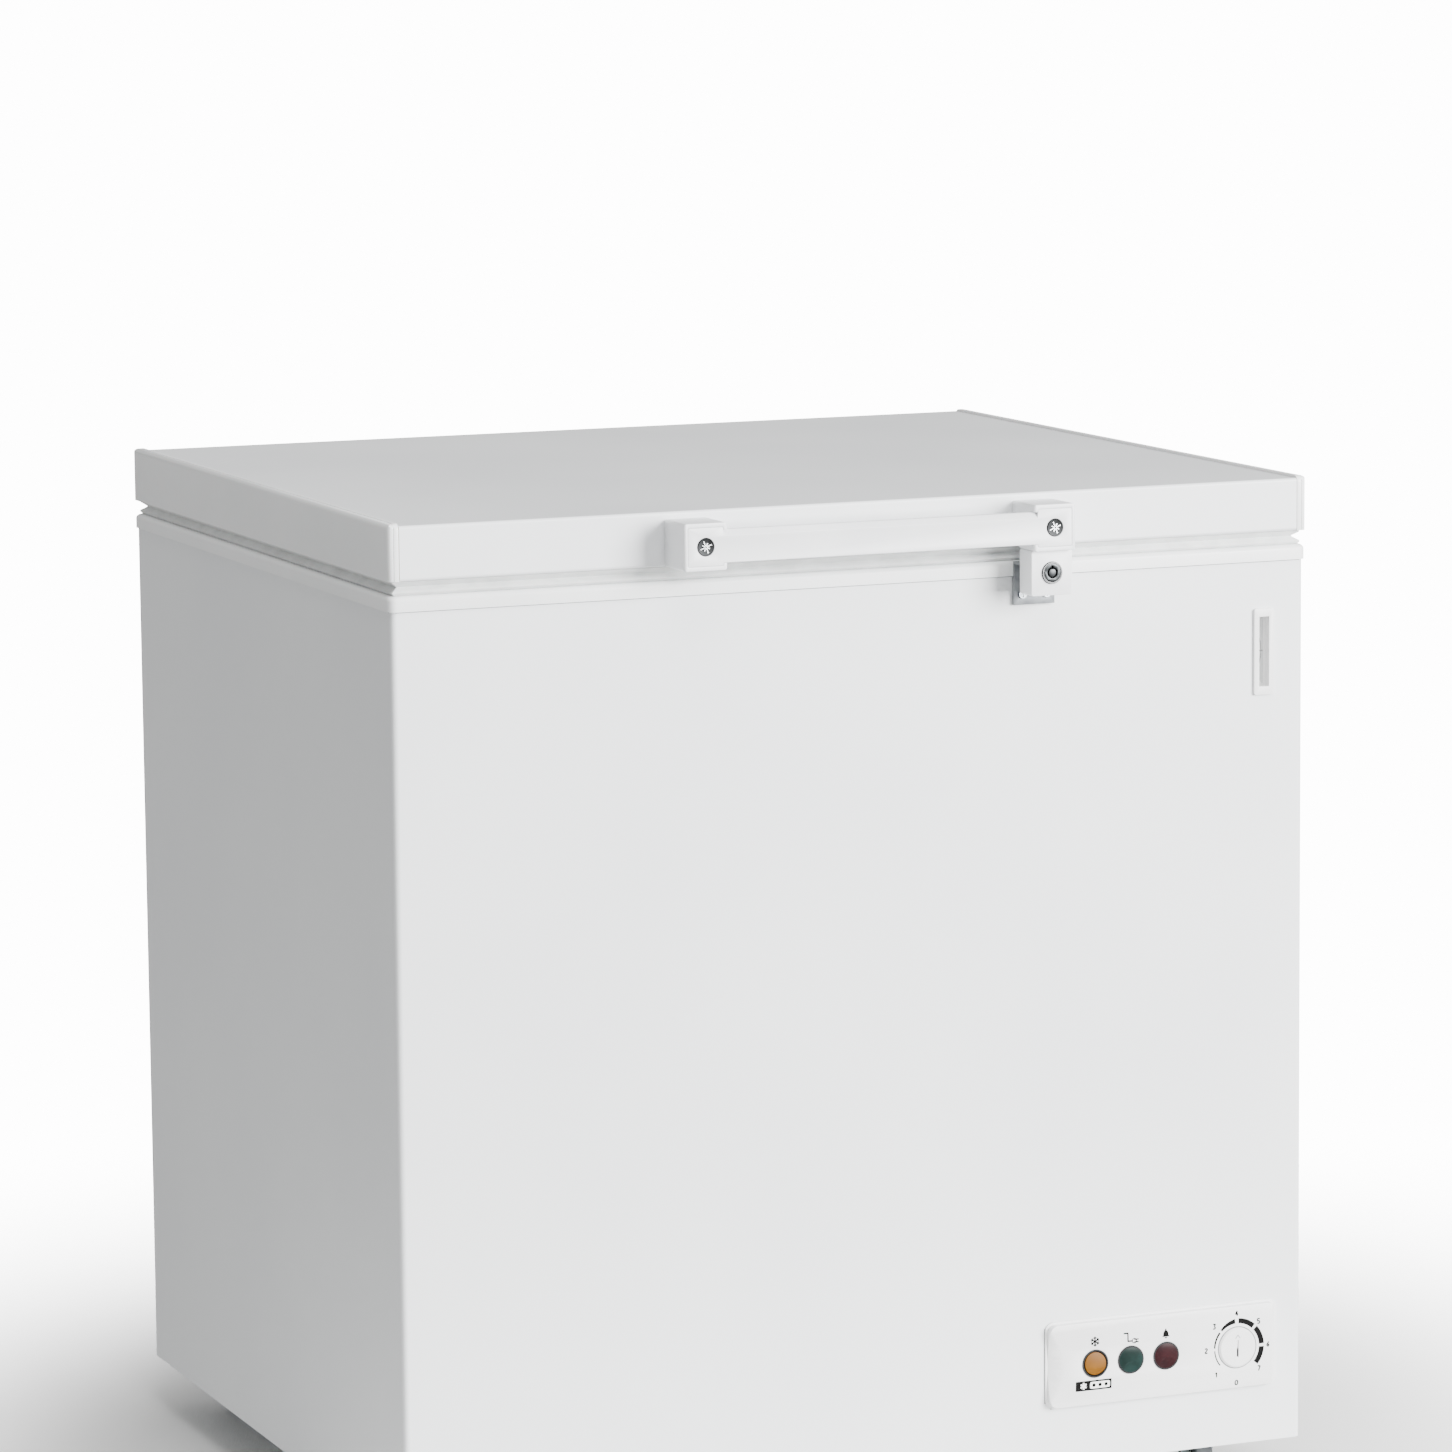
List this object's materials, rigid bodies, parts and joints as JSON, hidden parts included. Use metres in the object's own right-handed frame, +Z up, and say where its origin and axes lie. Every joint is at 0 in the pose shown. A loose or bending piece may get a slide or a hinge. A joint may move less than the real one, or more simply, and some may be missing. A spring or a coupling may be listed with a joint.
{
  "type": "chest freezer",
  "caption": "White chest freezer on castors, with a counterbalanced lid, bow handle with lock, strip thermometer and a round-lamp control panel.",
  "frame": {"origin": "middle of the overall box, on the floor", "axes": "+Z up, front towards -Y, the control panel at +X"},
  "size_m": [0.82, 0.7536, 0.88],
  "materials": {
    "painted_steel": "satin",
    "galvanised_steel": "satin",
    "foam": "matte",
    "tank_aluminium": "satin",
    "white_plastic": "satin",
    "copper_tube": "satin",
    "black_paint": "satin",
    "rubber_black": "matte",
    "dark_plastic": "satin",
    "zinc_steel": "satin",
    "grey_plastic": "satin",
    "green_lens": "gloss",
    "red_lens": "gloss",
    "amber_plastic": "gloss",
    "clear_window": "gloss",
    "gasket_pvc": "satin",
    "chrome_plate": "polished",
    "coated_wire": "gloss",
    "grey_tyre": "matte"
  },
  "bodies": {
    "cabinet": {"cabinet_wrapper": "painted_steel", "rear_panel": "galvanised_steel", "base_plate": "galvanised_steel", "cabinet_insulation": "foam", "machine_bay_lining": "galvanised_steel", "tank_liner": "tank_aluminium", "top_frame": "white_plastic", "evaporator_coil": "copper_tube", "condenser_coil": "black_paint", "compressor_tray": "galvanised_steel", "compressor": "black_paint", "compressor_mounts": "rubber_black", "compressor_bolts": "zinc_steel", "starter_cover": "dark_plastic", "filter_drier": "copper_tube", "refrigerant_lines": "copper_tube", "side_grille": "white_plastic", "rear_cover": "galvanised_steel", "cover_screws": "zinc_steel", "control_panel": "white_plastic", "lamp_housings": "dark_plastic", "power_lamp_lens": "green_lens", "alarm_lamp_lens": "red_lens", "thermostat_body": "dark_plastic", "wiring_loom": "dark_plastic", "cord_gland": "rubber_black", "thermometer_case": "white_plastic", "thermometer_dial": "white_plastic", "thermometer_lens": "clear_window", "drain_tube": "white_plastic", "lock_catch": "zinc_steel", "catch_screws": "zinc_steel", "castor_plates": "galvanised_steel", "hinge_brackets": "galvanised_steel"},
    "lid": {"lid_skin": "painted_steel", "lid_end_caps": "white_plastic", "lid_insulation": "foam", "lid_inner_panel": "white_plastic", "lid_gasket": "gasket_pvc", "handle_posts": "grey_plastic", "handle_bar": "white_plastic", "handle_screws": "zinc_steel", "handle_caps": "chrome_plate", "lock_housing": "grey_plastic", "hinge_arms": "galvanised_steel"},
    "lock": {"lock_barrel": "chrome_plate", "lock_cam": "zinc_steel"},
    "knob": {"thermostat_knob": "white_plastic"},
    "rocker": {"super_switch_rocker": "amber_plastic"},
    "needle": {"thermometer_needle": "dark_plastic"},
    "basket": {"storage_basket": "coated_wire"},
    "plug": {"drain_plug": "grey_plastic"},
    "castor_front_left": {"castor_front_left": "galvanised_steel"},
    "wheel_front_left": {"wheel_front_left": "grey_tyre"},
    "castor_front_right": {"castor_front_right": "galvanised_steel"},
    "wheel_front_right": {"wheel_front_right": "grey_tyre"},
    "castor_rear_left": {"castor_rear_left": "galvanised_steel"},
    "wheel_rear_left": {"wheel_rear_left": "grey_tyre"},
    "castor_rear_right": {"castor_rear_right": "galvanised_steel"},
    "wheel_rear_right": {"wheel_rear_right": "grey_tyre"}
  },
  "joints": [
    {"name": "lid_hinge", "type": "hinge", "parent": "cabinet", "child": "lid", "pos_m": [0, 0.3678, 0.815], "axis": [-1, 0, 0], "range_deg": [0, 85]},
    {"name": "lock_turn", "type": "hinge", "parent": "lid", "child": "lock", "pos_m": [0.155, -0.3592, 0.81475], "axis": [0, 1, 0], "range_deg": [0, 90]},
    {"name": "thermostat_turn", "type": "hinge", "parent": "cabinet", "child": "knob", "pos_m": [0.3425, -0.3342, 0.135], "axis": [0, 1, 0], "range_deg": [-180, 135]},
    {"name": "super_switch_tilt", "type": "hinge", "parent": "cabinet", "child": "rocker", "pos_m": [0.208, -0.3332, 0.135], "axis": [1, 0, 0], "range_deg": [0, 8]},
    {"name": "needle_swing", "type": "hinge", "parent": "cabinet", "child": "needle", "pos_m": [0.336, -0.3272, 0.73225], "axis": [0, 1, 0], "range_deg": [-40, 40]},
    {"name": "basket_slide", "type": "slide", "parent": "cabinet", "child": "basket", "axis": [1, 0, 0], "range_m": [-0.44, 0]},
    {"name": "drain_plug_pull", "type": "slide", "parent": "cabinet", "child": "plug", "axis": [0, 0, 1], "range_m": [0, 0.05]},
    {"name": "swivel_front_left", "type": "hinge", "parent": "cabinet", "child": "castor_front_left", "pos_m": [-0.346, -0.2702, 0.044], "axis": [0, 0, 1], "continuous": true},
    {"name": "roll_front_left", "type": "hinge", "parent": "castor_front_left", "child": "wheel_front_left", "pos_m": [-0.346, -0.2562, 0.02], "axis": [1, 0, 0], "continuous": true},
    {"name": "swivel_front_right", "type": "hinge", "parent": "cabinet", "child": "castor_front_right", "pos_m": [0.346, -0.2702, 0.044], "axis": [0, 0, 1], "continuous": true},
    {"name": "roll_front_right", "type": "hinge", "parent": "castor_front_right", "child": "wheel_front_right", "pos_m": [0.346, -0.2562, 0.02], "axis": [1, 0, 0], "continuous": true},
    {"name": "swivel_rear_left", "type": "hinge", "parent": "cabinet", "child": "castor_rear_left", "pos_m": [-0.346, 0.2918, 0.044], "axis": [0, 0, 1], "continuous": true},
    {"name": "roll_rear_left", "type": "hinge", "parent": "castor_rear_left", "child": "wheel_rear_left", "pos_m": [-0.346, 0.3058, 0.02], "axis": [1, 0, 0], "continuous": true},
    {"name": "swivel_rear_right", "type": "hinge", "parent": "cabinet", "child": "castor_rear_right", "pos_m": [0.346, 0.2918, 0.044], "axis": [0, 0, 1], "continuous": true},
    {"name": "roll_rear_right", "type": "hinge", "parent": "castor_rear_right", "child": "wheel_rear_right", "pos_m": [0.346, 0.3058, 0.02], "axis": [1, 0, 0], "continuous": true}
  ]
}
